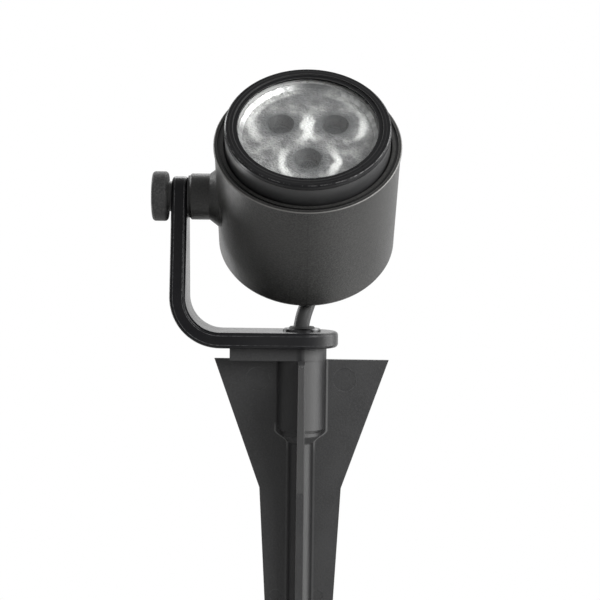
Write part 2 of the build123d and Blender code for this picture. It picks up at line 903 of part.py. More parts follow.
def make_tie():
    """A strap round both layers, a quarter turn before the coil's start, where no turn climbs."""
    angle = math.degrees(coil_start_angle) - 90
    low = coil_start.Z - cable_radius - 0.05
    high = low + 2 * cable_radius + cable_pitch + 0.1
    inner = coil_inner_radius + 0.25 * cable_pitch - cable_radius
    bow = inner - math.sqrt(inner**2 - (tie_width / 2) ** 2)
    inner -= bow + 0.2
    outer = coil_outer_radius - 0.75 * cable_pitch + cable_radius + 0.2
    width, height = outer - inner, high - low
    strap = RectangleRounded(width + 2 * tie_thickness, height + 2 * tie_thickness, cable_radius)
    strap -= RectangleRounded(width, height, cable_radius - tie_thickness)
    band = extrude(Plane.XZ * strap, tie_width / 2, both=True)
    place = Pos(*coil_centre) * Rot(0, 0, angle)
    return place * Pos((inner + outer) / 2, 0, (low + high) / 2 - coil_centre.Z) * band


def make_plug_relief():
    shape = turned(
        (0, 0),
        (cable_radius + 0.9, 0),
        (cable_radius + 1.0, 1.2),
        (plug_radius - 1.2, plug_relief_length),
        (0, plug_relief_length),
    )
    shape -= disc(cable_radius + fit_gap, -1, 0.6 * plug_relief_length)
    for i in range(4):
        low = 3.0 + 3.6 * i
        shape -= ring(plug_radius + 2, cable_radius + 0.9 + 0.1 * low, low, low + 1.4)
    return plug_place * shape


def make_plug_body():
    low = plug_relief_length
    high = low + plug_length
    shape = turned(
        (0, low),
        (plug_radius - 0.8, low),
        (plug_radius, low + 0.8),
        (plug_radius, low + 0.62 * plug_length),
        (plug_radius - 0.7, low + 0.66 * plug_length),
        (plug_radius - 0.7, low + 0.74 * plug_length),
        (plug_radius, low + 0.78 * plug_length),
        (plug_radius, high - 0.6),
        (plug_radius - 0.6, high),
        (plug_nose_radius, high),
        (plug_nose_radius, high + plug_nose_length),
        (plug_nose_radius - 1.3, high + plug_nose_length),
        (plug_nose_radius - 1.3, high + plug_nose_length - plug_pin_recess),
        (0, high + plug_nose_length - plug_pin_recess),
    )
    return plug_place * shape


def make_plug_pins():
    low = plug_relief_length + plug_length + plug_nose_length - plug_pin_recess
    pin = disc(plug_pin_radius, low, low + plug_pin_length)
    pin = chamfer(pin.edges().group_by(Axis.Z)[-1], 0.3)
    return Compound([plug_place * Pos(side * plug_pin_spread / 2, 0, 0) * pin for side in (-1, 1)])


def make_cable(points, name, radii=None):
    path = FilletPolyline(*points, radius=radii) if radii else free_path(points, name)
    shape = tube(path, cable_radius)
    print(name, "length", round(path.length, 1), "volume share", round(
        shape.volume / (math.pi * cable_radius**2 * path.length), 4))
    return shape


def make_coil():
    path = coil_path()
    shape = tube(path, cable_radius)
    print("coil length", round(path.length, 1), "gap to itself", round(coil_clearance(), 2),
          "volume share", round(shape.volume / (math.pi * cable_radius**2 * path.length), 4))
    return shape


# ---- write one file for each piece -------------------------------------------------------

pieces = {
    "spike": make_spike,
    "bracket": make_bracket,
    "lamp_housing": make_housing,
    "lens_collar": make_collar,
    "retaining_bezel": make_bezel,
    "cover_glass": make_glass,
    "glass_gasket": make_gasket,
    "collar_seal": make_seal_ring,
    "triple_lens": make_optic,
    "optic_holder": make_holder,
    "led_board": make_led_board,
    "leds": make_leds,
    "thermal_pad": make_thermal_pad,
    "heat_spreader": make_spreader,
    "spreader_screws": make_spreader_screws,
    "led_board_screws": make_board_screws,
    "driver_board": make_driver_board,
    "driver_screws": make_driver_screws,
    "driver_parts": make_driver_parts,
    "lead_wires": make_lead_wires,
    "supply_cores": make_supply_cores,
    "friction_washer": make_friction_washer,
    "clamp_stud": make_stud,
    "collar_washer": make_collar_washer,
    "clamp_knob": make_knob,
    "cable_gland": make_gland,
    "gland_nut": make_gland_nut,
    "cable_in_head": make_cable_head,
    "hollow_screw": make_nipple,
    "cable_bush": make_bush,
    "thread_insert": make_insert,
    "cable_neck": lambda: make_cable(neck_points, "neck", neck_radii),
    "cable_in_spike": lambda: make_cable(guide_points, "guide", [guide_bend_radius - guide_ease] * 2),
    "cable_lead": lambda: make_cable(lead_points, "lead"),
    "cable_coil": make_coil,
    "cable_tail": lambda: make_cable(tail_points, "tail"),
    "coil_tie": make_tie,
    "plug_relief": make_plug_relief,
    "plug_body": make_plug_body,
    "plug_pins": make_plug_pins,
}

os.makedirs("parts", exist_ok=True)
for name, make in pieces.items():
    export_step(make(), f"parts/{name}.step")
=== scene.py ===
import math

import bpy
from mathutils import Matrix, Vector


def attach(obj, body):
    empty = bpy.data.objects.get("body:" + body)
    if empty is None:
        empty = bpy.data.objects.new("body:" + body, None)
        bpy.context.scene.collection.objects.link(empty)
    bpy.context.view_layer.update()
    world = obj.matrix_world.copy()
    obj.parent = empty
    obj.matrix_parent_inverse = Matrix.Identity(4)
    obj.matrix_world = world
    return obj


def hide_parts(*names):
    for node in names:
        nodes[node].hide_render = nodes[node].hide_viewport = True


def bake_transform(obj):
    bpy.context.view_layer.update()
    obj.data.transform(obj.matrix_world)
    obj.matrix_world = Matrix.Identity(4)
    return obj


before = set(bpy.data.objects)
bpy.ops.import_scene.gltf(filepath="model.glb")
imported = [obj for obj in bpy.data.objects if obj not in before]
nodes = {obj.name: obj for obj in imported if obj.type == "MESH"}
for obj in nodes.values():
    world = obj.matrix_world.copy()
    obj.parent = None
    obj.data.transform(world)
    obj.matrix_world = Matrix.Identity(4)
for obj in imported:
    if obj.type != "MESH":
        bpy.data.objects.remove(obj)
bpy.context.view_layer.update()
print("frame loaded,", len(nodes), "CAD nodes")

mm = 0.001
scene = bpy.context.scene


# objects and meshes


def placeOf(origin, across, up, along):
    # the turn and shift that lay the three axes at the origin given
    return Matrix.Translation(origin) @ Matrix((across, up, along)).transposed().to_4x4()


def addObject(name, data):
    obj = bpy.data.objects.new(name, data)
    scene.collection.objects.link(obj)
    return obj


def bakedMesh(obj):
    # the object's evaluated shape as a plain mesh
    bpy.context.view_layer.update()
    return bpy.data.meshes.new_from_object(obj.evaluated_get(bpy.context.evaluated_depsgraph_get()))


def smoothFaces(mesh):
    for face in mesh.polygons:
        face.use_smooth = True


head = {"pivot": Vector((0.0012, 0.0, 0.0568)), "beam": 42.0}  # the beam's height above level, in degrees
beamAxis = Vector((0, -math.cos(math.radians(head["beam"])), math.sin(math.radians(head["beam"]))))
headUp = beamAxis.cross(Vector((1, 0, 0)))
headAxes = ((1, 0, 0), headUp, beamAxis)  # across the head, up its face and along its beam
headPlace = placeOf(head["pivot"], *headAxes)


# nodes of shaders and geometry


def addNode(tree, kind, **settings):
    node = tree.nodes.new(kind)
    for name, value in settings.items():
        setattr(node, name, value)
    return node


def feed(tree, node, values):
    # gives each input, by name or number, its value or joins it to the socket given
    for label, value in values.items():
        if isinstance(value, bpy.types.NodeSocket):
            tree.links.new(value, node.inputs[label])
        elif value is not None:
            node.inputs[label].default_value = value


def mathNode(tree, operation, *values, clamp=False):
    node = addNode(tree, "ShaderNodeMath", operation=operation, use_clamp=clamp)
    feed(tree, node, dict(enumerate(values)))
    return node.outputs[0]


def chain(tree, operation, *values):
    # joins the values from left to right with one operation
    result = values[0]
    for value in values[1:]:
        result = mathNode(tree, operation, result, value)
    return result


def times(tree, *values):
    return chain(tree, "MULTIPLY", *values)


def plus(tree, *values):
    return chain(tree, "ADD", *values)


def minus(tree, *values):
    return chain(tree, "SUBTRACT", *values)


def largest(tree, *values):
    return chain(tree, "MAXIMUM", *values)


def gap(tree, value, centre):
    return mathNode(tree, "ABSOLUTE", minus(tree, value, centre))


def span(tree, first, second):
    # the length of a flat vector
    return mathNode(tree, "SQRT", plus(tree, times(tree, first, first), times(tree, second, second)))


def scaled(tree, value, shares):
    return [times(tree, value, share) for share in shares]


def vectorNode(tree, operation, first, second=None, scale=None, output="Vector"):
    node = addNode(tree, "ShaderNodeVectorMath", operation=operation)
    feed(tree, node, {0: first, 1: second, "Scale": scale})
    return node.outputs[output]


def smoothBand(tree, value, low, high, start=0.0, end=1.0):
    node = addNode(tree, "ShaderNodeMapRange", interpolation_type="SMOOTHSTEP")
    feed(tree, node, {"Value": value, "From Min": low, "From Max": high, "To Min": start, "To Max": end})
    return node.outputs[0]


def noiseNode(tree, place, scale, detail=2.0, rough=0.5):
    node = tree.nodes.new("ShaderNodeTexNoise")
    feed(tree, node, {"Vector": place, "Scale": scale, "Detail": detail, "Roughness": rough})
    return node.outputs[0]


def objectPlace(tree):
    return tree.nodes.new("ShaderNodeTexCoord").outputs["Object"]


def axes(tree):
    apart = tree.nodes.new("ShaderNodeSeparateXYZ")
    feed(tree, apart, {0: objectPlace(tree)})
    return apart.outputs


def headCoordinates(tree, directions=headAxes):
    # a point's place along each of the head's axes, from the tilt pivot
    local = vectorNode(tree, "SUBTRACT", objectPlace(tree), head["pivot"])
    return [vectorNode(tree, "DOT_PRODUCT", local, axis, output="Value") for axis in directions]


def mixShaders(tree, share, first, second, target):
    mix = tree.nodes.new("ShaderNodeMixShader")
    feed(tree, mix, {0: share, 1: first, 2: second})
    tree.links.new(mix.outputs[0], target)


# camera and light

camera = {
    "place": (-0.00079, -0.53270, 0.04904),
    "target": (-0.00079, 0.0, 0.02086),
    "roll": 0.683,  # degrees, the object leans to the right by this
    "lens": 90.9,
    "sensor": 36,
    "clip": (0.01, 20),
}


def makeCamera(c):
    data = bpy.data.cameras.new("photoCamera")
    obj = addObject("photoCamera", data)
    away = (Vector(c["place"]) - Vector(c["target"])).normalized()
    right = Vector((0, 0, 1)).cross(away).normalized()
    up = away.cross(right)
    turn = math.radians(c["roll"])
    turnedRight = right * math.cos(turn) + up * math.sin(turn)
    turnedUp = up * math.cos(turn) - right * math.sin(turn)
    obj.matrix_world = placeOf(c["place"], turnedRight, turnedUp, away)
    data.lens = c["lens"]
    data.sensor_width = c["sensor"]
    data.clip_start, data.clip_end = c["clip"]
    scene.camera = obj


makeCamera(camera)
scene.view_settings.view_transform = "Standard"

studio = {
    "white": (1, 1, 1, 1),
    "fill": 0.22,  # world strength for rays that light dull surfaces
    "seen": 1.0,  # world strength behind the object, in mirrors and through glass
    "aim": (0, 0, 0.03),
    "panels": {
        "keyPanel": {"place": (0.55, -0.62, 0.42), "size": (0.45, 0.60), "power": 9.8},
        "rightPanel": {"place": (0.60, 0.06, 0.16), "size": (0.46, 0.80), "power": 7.4},
        "leftPanel": {"place": (-0.50, 0.34, 0.12), "size": (0.20, 0.80), "power": 4.1},
        "backPanel": {"place": (0.05, 0.60, 0.55), "size": (0.60, 0.30), "power": 3.0},
    },
}


def makeWorld(s):
    world = bpy.data.worlds.new("studio")
    scene.world = world
    world.use_nodes = True
    tree = world.node_tree
    tree.nodes.clear()
    out = tree.nodes.new("ShaderNodeOutputWorld")
    shaders = []
    for strength in (s["fill"], s["seen"]):
        shader = tree.nodes.new("ShaderNodeBackground")
        feed(tree, shader, {"Color": s["white"], "Strength": strength})
        shaders.append(shader.outputs[0])
    path = tree.nodes.new("ShaderNodeLightPath").outputs
    seen = largest(tree, path["Is Camera Ray"], path["Is Glossy Ray"], path["Is Transmission Ray"])
    mixShaders(tree, seen, *shaders, out.inputs[0])


def makePanel(name, p, aim):
    data = bpy.data.lights.new(name, "AREA")
    data.shape = "RECTANGLE"
    data.size, data.size_y = p["size"]
    data.energy = p["power"]
    obj = addObject(name, data)
    obj.location = p["place"]
    toward = Vector(aim) - Vector(p["place"])
    obj.rotation_euler = toward.to_track_quat("-Z", "Y").to_euler()


makeWorld(studio)
for name, panel in studio["panels"].items():
    makePanel(name, panel, studio["aim"])
print("camera and light set")


# shader groups that several finishes share; lengths are in metres, "inputs" are the groups' own inputs,
# a noise is its scale, detail and roughness, and a pair or four is a smooth band's ends


def newGroup(name, inputs, outputs):
    group = bpy.data.node_groups.new(name, "ShaderNodeTree")
    for label, value in inputs.items():
        socket = group.interface.new_socket(label, in_out="INPUT", socket_type="NodeSocketFloat")
        socket.default_value = value
    for label in outputs:
        group.interface.new_socket(label, in_out="OUTPUT", socket_type="NodeSocketFloat")
    given = group.nodes.new("NodeGroupInput").outputs
    out = group.nodes.new("NodeGroupOutput").inputs
    return group, given, out


def send(group, out, **values):
    for label, value in values.items():
        group.links.new(value, out[label])
    return group


surfaceGrain = {
    "inputs": {"Grain Scale": 3000.0, "Patch Scale": 90.0},
    "fine": (3.0, 0.65),
    "wide": (4.0, 0.55),
    "patch": (0.35, 0.68),
    "speck": (0.60, 0.74),
}


def makeGrainGroup(g):
    group, given, out = newGroup("surfaceGrain", g["inputs"], ("Height", "Patch", "Speck"))
    place = objectPlace(group)
    fine = noiseNode(group, place, given["Grain Scale"], *g["fine"])
    wide = noiseNode(group, place, given["Patch Scale"], *g["wide"])
    patch = smoothBand(group, wide, *g["patch"])
    return send(group, out, Height=fine, Patch=patch, Speck=smoothBand(group, fine, *g["speck"]))


edgeWear = {
    "inputs": {"Radius": 0.0315, "Level": 0.027, "Width": 0.0004, "Cover": 0.5},
    "noise": (420.0, 5.0, 0.7),
    "limit": 0.75,  # the noise's limit without any cover
    "drop": 0.5,  # what full cover takes off it
    "soft": 0.08,
}


def makeEdgeWearGroup(w):
    # a broken bright line round a turned edge of the head, given by its radius and its level along the beam: partly
    # wear, partly a painted glint
    group, given, out = newGroup("turnedEdgeWear", w["inputs"], ("Wear",))
    across, up, level = headCoordinates(group)
    offRadius = minus(group, span(group, across, up), given["Radius"])
    offLevel = minus(group, level, given["Level"])
    near = smoothBand(group, span(group, offRadius, offLevel), given["Width"], 0.0)
    limit = minus(group, w["limit"], times(group, given["Cover"], w["drop"]))
    broken = noiseNode(group, objectPlace(group), *w["noise"])
    chips = smoothBand(group, broken, limit, plus(group, limit, w["soft"]))
    return send(group, out, Wear=times(group, near, chips))


mouldSeam = {
    "inputs": {"Place": 0.0012, "Width": 0.0002},
    "noise": (160.0, 3.0),
    "wander": (0.35, 0.6, 0.35, 1.0),
}


def makeSeamGroup(s):
    # the faint raised line that a mould's halves leave, across the X axis
    group, given, out = newGroup("mouldSeam", s["inputs"], ("Seam",))
    line = smoothBand(group, gap(group, axes(group)["X"], given["Place"]), given["Width"], 0.0)
    wander = smoothBand(group, noiseNode(group, objectPlace(group), *s["noise"]), *s["wander"])
    return send(group, out, Seam=times(group, line, wander))


turnedBand = {"Inner": 0.0285, "Outer": 0.0295, "Low": 0.0, "High": 0.03, "Soft": 0.0002}


def makeBandGroup(inputs):
    # the stretch of a turned piece between two radii and two levels along the beam
    group, given, out = newGroup("turnedBand", inputs, ("Mask",))
    across, up, level = headCoordinates(group)
    masks = []
    for value, low, high in ((span(group, across, up), "Inner", "Outer"), (level, "Low", "High")):
        sides = []
        for off in (minus(group, value, given[low]), minus(group, given[high], value)):
            sides.append(mathNode(group, "ADD", mathNode(group, "DIVIDE", off, given["Soft"]), 0.5, clamp=True))
        masks.append(mathNode(group, "MINIMUM", *sides))
    return send(group, out, Mask=times(group, *masks))


barHighlight = {
    "inputs": {"Bend X": -0.0283, "Bend Z": 0.0220, "Middle": 0.0148, "Offset": 0.0016, "Width": 0.00018},
    "noise": (900.0, 3.0, 0.7),
    "broken": (0.38, 0.60, 0.25, 1.0),
}


def makeBarHighlightGroup(b):
    # a painted highlight line where the bent bar's flat edge turns into its rounding, along arm, bend and foot
    group, given, out = newGroup("barEdgeHighlight", b["inputs"], ("Line",))
    place = axes(group)
    dx = largest(group, minus(group, given["Bend X"], place["X"]), 0.0)
    dz = largest(group, minus(group, given["Bend Z"], place["Z"]), 0.0)
    off = gap(group, span(group, dx, dz), given["Middle"])
    near = smoothBand(group, gap(group, off, given["Offset"]), given["Width"], 0.0)
    broken = smoothBand(group, noiseNode(group, objectPlace(group), *b["noise"]), *b["broken"])
    return send(group, out, Line=times(group, near, broken))


lensCells = {
    "inputs": {"Circle": 0.0106, "Well": 0.0047, "Wall": 0.0100, "Rim": 0.0205, "Lower Shift": 0.0012},
    "cells": (
        # turn round the beam, share of the lower shift, size of the wall, step across, share of the left wall
        (30, 0.0, 1.0, 0.0, 1.0),
        (150, 0.35, 1.0, 0.0, 0.65),
        (270, 1.0, 0.93, 0.0006, 0.9),
    ),
    "swirlNoise": (260.0, 3.0),
    "swirl": 0.0030,  # how far the noise moves the cells' outlines
    "least": 0.001,  # radii under this count as this
    "wellEdge": (1.35, 0.55),  # shares of the well's radius
    "wallRise": (0.76, 0.94),  # shares of the wall's radius
    "wallFall": (1.20, 1.04),
    "shadeEdge": 0.86,
    "side": (0.50, 0.96),
    "below": (0.0075, 0.0, 0.25, 1.0),
    "leftBand": (-0.002, 0.002),
    "rimSwirl": 0.4,
    "rimStart": 0.93,  # share of the rim's radius
    "leftRim": (0.7, -0.7),  # direction, up and across, in which the rim is lit
    "leftLit": (0.74, 0.90),
    "rightRim": (0.6, 0.8),
    "rightLit": (0.70, 0.95, 0.0, 0.6),
    "cloudNoise": (420.0, 4.0, 0.6),
    "cloud": (0.35, 0.62, 0.35, 0.9),
    "topShade": (0.0125, 0.0165, 0.0, 0.7),
    "pebbleScale": 1500.0,
}


def makeLensCellGroup(c):
    # painted light of a three-cell optic seen from outside: painted shade in the dark wells, round them and at the top,
    # painted reflections on the cell walls at their sides and on the rim where it faces the lamps
    group, given, out = newGroup("lensCells", c["inputs"], ("Well", "Wall", "Rim", "Shade", "Pebble"))
    place = objectPlace(group)
    across, up = headCoordinates(group, headAxes[:2])
    swirl = times(group, minus(group, noiseNode(group, place, *c["swirlNoise"]), 0.5), c["swirl"])
    wells, walls, shades = [], [], []
    for turn, drop, size, step, left in c["cells"]:
        angle = math.radians(turn)
        shift = times(group, given["Lower Shift"], drop)
        dx = minus(group, across, times(group, given["Circle"], math.cos(angle)), step)
        dy = minus(group, up, minus(group, times(group, given["Circle"], math.sin(angle)), shift))
        reach = plus(group, span(group, dx, dy), swirl)
        radius = times(group, given["Wall"], size)
        rise = smoothBand(group, reach, *scaled(group, radius, c["wallRise"]))
        fall = smoothBand(group, reach, *scaled(group, radius, c["wallFall"]))
        aside = mathNode(group, "DIVIDE", mathNode(group, "ABSOLUTE", dx), largest(group, reach, c["least"]))
        side = smoothBand(group, aside, *c["side"])
        below = smoothBand(group, dy, *c["below"])
        leftShare = smoothBand(group, dx, *c["leftBand"], left, 1.0)
        wells.append(smoothBand(group, reach, *scaled(group, given["Well"], c["wellEdge"])))
        walls.append(times(group, rise, fall, side, below, leftShare))
        shades.append(smoothBand(group, reach, times(group, given["Wall"], c["shadeEdge"]), given["Well"]))
    radius = span(group, across, up)
    lit = []
    for toward, band in (("leftRim", "leftLit"), ("rightRim", "rightLit")):
        upShare, acrossShare = c[toward]
        lean = plus(group, times(group, up, upShare), times(group, across, acrossShare))
        lit.append(smoothBand(group, mathNode(group, "DIVIDE", lean, largest(group, radius, c["least"])), *c[band]))
    wavy = plus(group, radius, times(group, swirl, c["rimSwirl"]))
    edge = smoothBand(group, wavy, times(group, given["Rim"], c["rimStart"]), given["Rim"])
    cloud = smoothBand(group, noiseNode(group, place, *c["cloudNoise"]), *c["cloud"])
    shades.append(smoothBand(group, plus(group, up, swirl), *c["topShade"]))
    pebble = addNode(group, "ShaderNodeTexVoronoi", feature="SMOOTH_F1")
    feed(group, pebble, {"Vector": place, "Scale": c["pebbleScale"]})
    return send(
        group, out, Well=largest(group, *wells), Wall=largest(group, *walls), Shade=largest(group, *shades),
        Rim=times(group, edge, largest(group, *lit), cloud), Pebble=pebble.outputs["Distance"],
    )


spikeLightAndShade = {
    "inputs": {
        "Socket Radius": 0.0085, "Core Radius": 0.0042, "Step Level": -0.0244,
        "Top Reach": 0.0307, "Kink Reach": 0.0144, "Kink Level": -0.0456,
    },
    "least": 0.001,
    "step": (-0.0050, -0.0006),
    "front": (0.0, -0.0008),  # only the side that looks against Y is painted
    "skin": (0.0006, 0.0003),
    "litRise": (0.06, 0.16),
    "litFall": (0.95, 0.42),
    "darkLeft": (0.05, -0.05),
    "darkRight": (0.55, 0.92),
    "lineOff": 0.0006,
    "line": (0.00050, 0.00015),
    "lineRight": (0.0, 0.004),
    "lineStep": (0.0026, 0.0004),
    "lineCore": (-0.0090, -0.0045, 0.25, 1.0),
    "edgeIn": (-0.0004, -0.0001),
    "edgeAbove": (0.0, 0.0008),
}


def makeSpikeGroup(m):
    # painted light on the spike: a highlight line along the root of socket and step, painted sheen and shade on its
    # round parts, painted highlights on the slanted fin edges
    group, given, out = newGroup("spikeLightAndShade", m["inputs"], ("Root", "Sheen", "Dim", "Edge"))
    x, y, z = axes(group)
    sideways = mathNode(group, "ABSOLUTE", x)
    radius = span(group, x, y)
    turn = mathNode(group, "DIVIDE", x, largest(group, radius, m["least"]))
    below = minus(group, z, given["Step Level"])
    reach = smoothBand(group, below, *m["step"], given["Core Radius"], given["Socket Radius"])
    front = smoothBand(group, y, *m["front"])
    skin = times(group, front, smoothBand(group, minus(group, radius, reach), *m["skin"]))
    lit = times(group, smoothBand(group, turn, *m["litRise"]), smoothBand(group, turn, *m["litFall"]))
    dark = largest(group, smoothBand(group, turn, *m["darkLeft"]), smoothBand(group, turn, *m["darkRight"]))
    line = smoothBand(group, gap(group, minus(group, sideways, reach), m["lineOff"]), *m["line"])
    shown = largest(group, smoothBand(group, x, *m["lineRight"]), smoothBand(group, below, *m["lineStep"]))
    shown = times(group, shown, smoothBand(group, below, *m["lineCore"]))
    above = minus(group, z, given["Kink Level"])
    flare = minus(group, given["Top Reach"], given["Kink Reach"])
    slope = mathNode(group, "DIVIDE", flare, given["Kink Level"])
    edge = minus(group, given["Kink Reach"], times(group, above, slope))
    outward = minus(group, largest(group, sideways, mathNode(group, "ABSOLUTE", y)), edge)
    slanted = times(group, smoothBand(group, outward, *m["edgeIn"]), smoothBand(group, above, *m["edgeAbove"]))
    return send(
        group, out, Root=times(group, line, shown, front), Sheen=times(group, skin, lit),
        Dim=times(group, skin, dark), Edge=slanted,
    )


pinRing = {
    "inputs": {"Across": 0.0152, "Level": -0.007, "Radius": 0.0041, "Width": 0.0003},
    "front": (0.0, -0.0008),
    "noise": (500.0, 2.0),
    "broken": (0.3, 0.6),
}


def makeRingGroup(r):
    # the thin ring an ejector pin leaves on a face that looks against Y
    group, given, out = newGroup("pinRing", r["inputs"], ("Ring",))
    x, y, z = axes(group)
    reach = span(group, minus(group, x, given["Across"]), minus(group, z, given["Level"]))
    line = smoothBand(group, gap(group, reach, given["Radius"]), given["Width"], 0.0)
    front = smoothBand(group, y, *r["front"])
    broken = smoothBand(group, noiseNode(group, objectPlace(group), *r["noise"]), *r["broken"])
    return send(group, out, Ring=times(group, line, front, broken))


grainGroup = makeGrainGroup(surfaceGrain)
edgeWearGroup = makeEdgeWearGroup(edgeWear)
seamGroup = makeSeamGroup(mouldSeam)
bandGroup = makeBandGroup(turnedBand)
barHighlightGroup = makeBarHighlightGroup(barHighlight)
lensCellGroup = makeLensCellGroup(lensCells)
spikeGroup = makeSpikeGroup(spikeLightAndShade)
ringGroup = makeRingGroup(pinRing)


def placeGroup(tree, group, **values):
    node = addNode(tree, "ShaderNodeGroup", node_tree=group)
    feed(tree, node, {label.replace("_", " "): value for label, value in values.items()})
    return node.outputs


# materials

plainFinish = {
    "roughness": 0.5, "metallic": 0.0, "specular": 0.5, "ior": 1.5, "sheenVary": 0.03,
    "grain": 3000.0, "patch": 90.0, "vary": 0.5, "specksAndGlints": 0.3, "depth": 0.00003, "bump": 0.5,
    "mottle": (0.38, 0.62), "wornAndGlintRough": 0.05, "wornAndGlintMetal": 0.6, "highlightSlopes": (), "rings": (), "bands": (),
}


def mixColor(tree, share, first, second):
    node = addNode(tree, "ShaderNodeMix", data_type="RGBA")
    first, second = ((*colour, 1) if isinstance(colour, tuple) else colour for colour in (first, second))
    feed(tree, node, {"Factor": share, 6: first, 7: second})  # 6 and 7 are the two colours
    return node.outputs[2]


def startMaterial(name, f):
    material = bpy.data.materials.new(name)
    material.use_nodes = True
    tree = material.node_tree
    shader = tree.nodes["Principled BSDF"]
    feed(tree, shader, {
        "Base Color": (*f["color"], 1), "Roughness": f["roughness"], "Metallic": f["metallic"],
        "Specular IOR Level": f["specular"], "IOR": f["ior"],
    })
    return material, tree, shader


def addBump(tree, shader, height, f):
    bump = tree.nodes.new("ShaderNodeBump")
    feed(tree, bump, {"Distance": f["depth"], "Strength": f["bump"], "Height": height})
    feed(tree, shader, {"Normal": bump.outputs["Normal"]})


def grainedMaterial(name, f):
    f = {**plainFinish, **f}
    material, tree, shader = startMaterial(name, f)
    grain = placeGroup(tree, grainGroup, Grain_Scale=f["grain"], Patch_Scale=f["patch"])
    colour = mixColor(tree, times(tree, grain["Patch"], f["vary"]), f["color"], f["light"])
    colour = mixColor(tree, times(tree, grain["Speck"], f["specksAndGlints"]), colour, f["light"])
    rough = smoothBand(tree, grain["Patch"], 0.0, 1.0, f["roughness"] - f["sheenVary"], f["roughness"] + f["sheenVary"])
    if "grainTone" in f:
        mottle = smoothBand(tree, grain["Height"], *f["mottle"], 0.0, f["grainShow"])
        colour = mixColor(tree, mottle, colour, f["grainTone"])
    if "seam" in f:
        seam = placeGroup(tree, seamGroup, Place=f["seam"], Width=f["seamWidth"])["Seam"]
        colour = mixColor(tree, times(tree, seam, f["seamShow"]), colour, f["seamTone"])
    # edges: broken lines of wear and painted glint round turned edges
    if "edges" in f:
        lines = [
            placeGroup(tree, edgeWearGroup, Radius=radius, Level=level, Width=width, Cover=cover)["Wear"]
            for radius, level, width, cover in f["edges"]
        ]
        wornAndGlint = largest(tree, *lines)
        colour = mixColor(tree, wornAndGlint, colour, f["wornAndGlint"])
        rough = plus(tree, rough, times(tree, wornAndGlint, f["wornAndGlintRough"]))
        feed(tree, shader, {"Metallic": times(tree, wornAndGlint, f["wornAndGlintMetal"])})
    # a painted highlight line along the bar's rounded edges
    if "barHighlight" in f:
        colour = mixColor(tree, placeGroup(tree, barHighlightGroup)["Line"], colour, f["barHighlight"])
    # painted highlight: the colour grows lighter along X
    for low, high, share, tone in f["highlightSlopes"]:
        colour = mixColor(tree, smoothBand(tree, axes(tree)["X"], low, high, 0.0, share), colour, tone)
    # painted light on the spike: sheen, shade and highlight lines
    if "marks" in f:
        marks = placeGroup(tree, spikeGroup)
        for label, tone in f["marks"].items():
            colour = mixColor(tree, marks[label], colour, tone)
    for across, level, radius in f["rings"]:
        ring = placeGroup(tree, ringGroup, Across=across, Level=level, Radius=radius)["Ring"]
        colour = mixColor(tree, ring, colour, f["light"])
    # bands paint shade into gaps and grooves and highlight lines onto turned steps
    for inner, outer, low, high, shade in f["bands"]:
        band = placeGroup(tree, bandGroup, Inner=inner, Outer=outer, Low=low, High=high)["Mask"]
        colour = mixColor(tree, band, colour, shade)
    addBump(tree, shader, grain["Height"], f)
    feed(tree, shader, {"Base Color": colour, "Roughness": rough})
    return material


def clearMaterial(name, f):
    # glass that lets the lamps' light through
    f = {**plainFinish, **f}
    material, tree, shader = startMaterial(name, f)
    grain = placeGroup(tree, grainGroup, Grain_Scale=f["grain"], Patch_Scale=f["patch"])
    addBump(tree, shader, grain["Height"], f)
    rough = smoothBand(tree, grain["Patch"], 0.0, 1.0, f["roughness"], f["roughness"] + f["smear"])
    feed(tree, shader, {"Transmission Weight": 1.0, "Roughness": rough})
    path = tree.nodes.new("ShaderNodeLightPath").outputs
    clear = tree.nodes.new("ShaderNodeBsdfTransparent")
    feed(tree, clear, {"Color": (*f["through"], 1)})
    passing = largest(tree, path["Is Shadow Ray"], path["Is Diffuse Ray"])
    mixShaders(tree, passing, shader.outputs[0], clear.outputs[0], tree.nodes["Material Output"].inputs["Surface"])
    return material


def lensMaterial(name, f):
    # a moulded clear optic painted as frosted silver: painted reflections on its cell walls and rim, painted shade in
    # and round its wells, at its top and between its pebbles
    f = {**plainFinish, **f}
    material, tree, shader = startMaterial(name, f)
    cells = placeGroup(tree, lensCellGroup)
    grain = placeGroup(tree, grainGroup, Grain_Scale=f["grain"], Patch_Scale=f["patch"])
    pebble = times(tree, smoothBand(tree, cells["Pebble"], *f["pebbleBand"]), f["pebbleShow"])
    layers = (
        (grain["Patch"], f["light"]), (times(tree, cells["Shade"], f["shadeShow"]), f["shade"]), (pebble, f["shade"]),
        (cells["Wall"], f["bright"]), (cells["Rim"], f["bright"]), (cells["Well"], f["well"]),
    )
    colour = f["color"]
    for share, tone in layers:
        colour = mixColor(tree, share, colour, tone)
    mirror = mathNode(tree, "SUBTRACT", largest(tree, cells["Wall"], cells["Rim"]), cells["Well"], clamp=True)
    feed(tree, shader, {"Base Color": colour, "Metallic": times(tree, mirror, f["mirror"])})
    addBump(tree, shader, plus(tree, cells["Pebble"], times(tree, grain["Height"], f["grainRelief"])), f)
    return material
